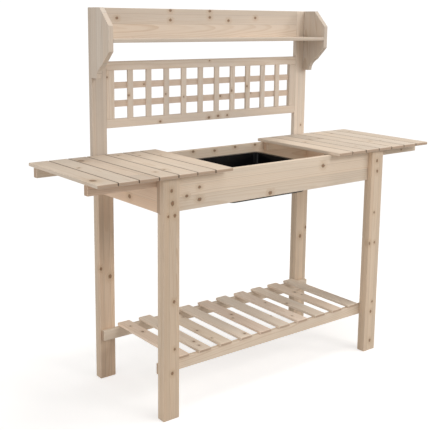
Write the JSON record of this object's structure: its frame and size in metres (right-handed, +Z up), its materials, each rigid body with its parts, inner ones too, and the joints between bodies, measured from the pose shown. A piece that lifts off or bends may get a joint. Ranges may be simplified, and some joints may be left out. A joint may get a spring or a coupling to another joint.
{
  "type": "potting bench",
  "caption": "Softwood potting bench with sliding slatted tops over a lift-out plastic basin, a slatted lower shelf, and a back frame with a lattice panel and a small bracketed shelf.",
  "frame": {"origin": "on the floor, in the middle of the bench's length and depth with both tops pulled out", "axes": "+X along the bench to the user's right, +Y to the back, where the posts are, +Z up"},
  "size_m": [1.586, 0.502, 1.4],
  "materials": {
    "leg_wood": "planed pale softwood, unfinished, with small dark knots",
    "apron_wood": "planed pale softwood, unfinished, edge-glued boards with small knots",
    "slat_wood": "planed pale softwood, unfinished, edges slightly rounded",
    "back_wood": "planed pale softwood, unfinished, with small dark knots",
    "basin_plastic": "black moulded plastic, glossy"
  },
  "bodies": {
    "frame": {"apron_back": "apron_wood", "apron_front": "apron_wood", "apron_left": "apron_wood", "apron_right": "apron_wood", "back_board": "back_wood", "bracket_left": "back_wood", "bracket_right": "back_wood", "cross_rail_left": "apron_wood", "cross_rail_right": "apron_wood", "lattice_grid": "back_wood", "lattice_rail_bottom": "back_wood", "lattice_rail_top": "back_wood", "lattice_stile_left": "back_wood", "lattice_stile_right": "back_wood", "leg_back_left_inner_board": "leg_wood", "leg_back_left_outer_board": "leg_wood", "leg_back_right_inner_board": "leg_wood", "leg_back_right_outer_board": "leg_wood", "leg_front_left_inner_board": "leg_wood", "leg_front_left_outer_board": "leg_wood", "leg_front_right_inner_board": "leg_wood", "leg_front_right_outer_board": "leg_wood", "post_left": "back_wood", "post_right": "back_wood", "shelf_rail_back": "apron_wood", "shelf_rail_front": "apron_wood", "shelf_slat_01": "slat_wood", "shelf_slat_02": "slat_wood", "shelf_slat_03": "slat_wood", "shelf_slat_04": "slat_wood", "shelf_slat_05": "slat_wood", "shelf_slat_06": "slat_wood", "shelf_slat_07": "slat_wood", "shelf_slat_08": "slat_wood", "shelf_slat_09": "slat_wood", "shelf_slat_10": "slat_wood", "top_shelf_board": "back_wood"},
    "left_top": {"left_top_batten_back": "apron_wood", "left_top_batten_front": "apron_wood", "left_top_slat_1": "slat_wood", "left_top_slat_2": "slat_wood", "left_top_slat_3": "slat_wood", "left_top_slat_4": "slat_wood", "left_top_slat_5": "slat_wood", "left_top_slat_6": "slat_wood", "left_top_slat_7": "slat_wood"},
    "right_top": {"right_top_batten_back": "apron_wood", "right_top_batten_front": "apron_wood", "right_top_slat_1": "slat_wood", "right_top_slat_2": "slat_wood", "right_top_slat_3": "slat_wood", "right_top_slat_4": "slat_wood", "right_top_slat_5": "slat_wood", "right_top_slat_6": "slat_wood", "right_top_slat_7": "slat_wood"},
    "basin": {"basin": "basin_plastic"}
  },
  "joints": [
    {"name": "left_top_slide", "type": "slide", "parent": "frame", "child": "left_top", "axis": [-1, 0, 0], "range_m": [-0.26, 0]},
    {"name": "right_top_slide", "type": "slide", "parent": "frame", "child": "right_top", "axis": [1, 0, 0], "range_m": [-0.26, 0]},
    {"name": "basin_lift", "type": "slide", "parent": "frame", "child": "basin", "axis": [0, 0, 1], "range_m": [0, 0.2]}
  ]
}
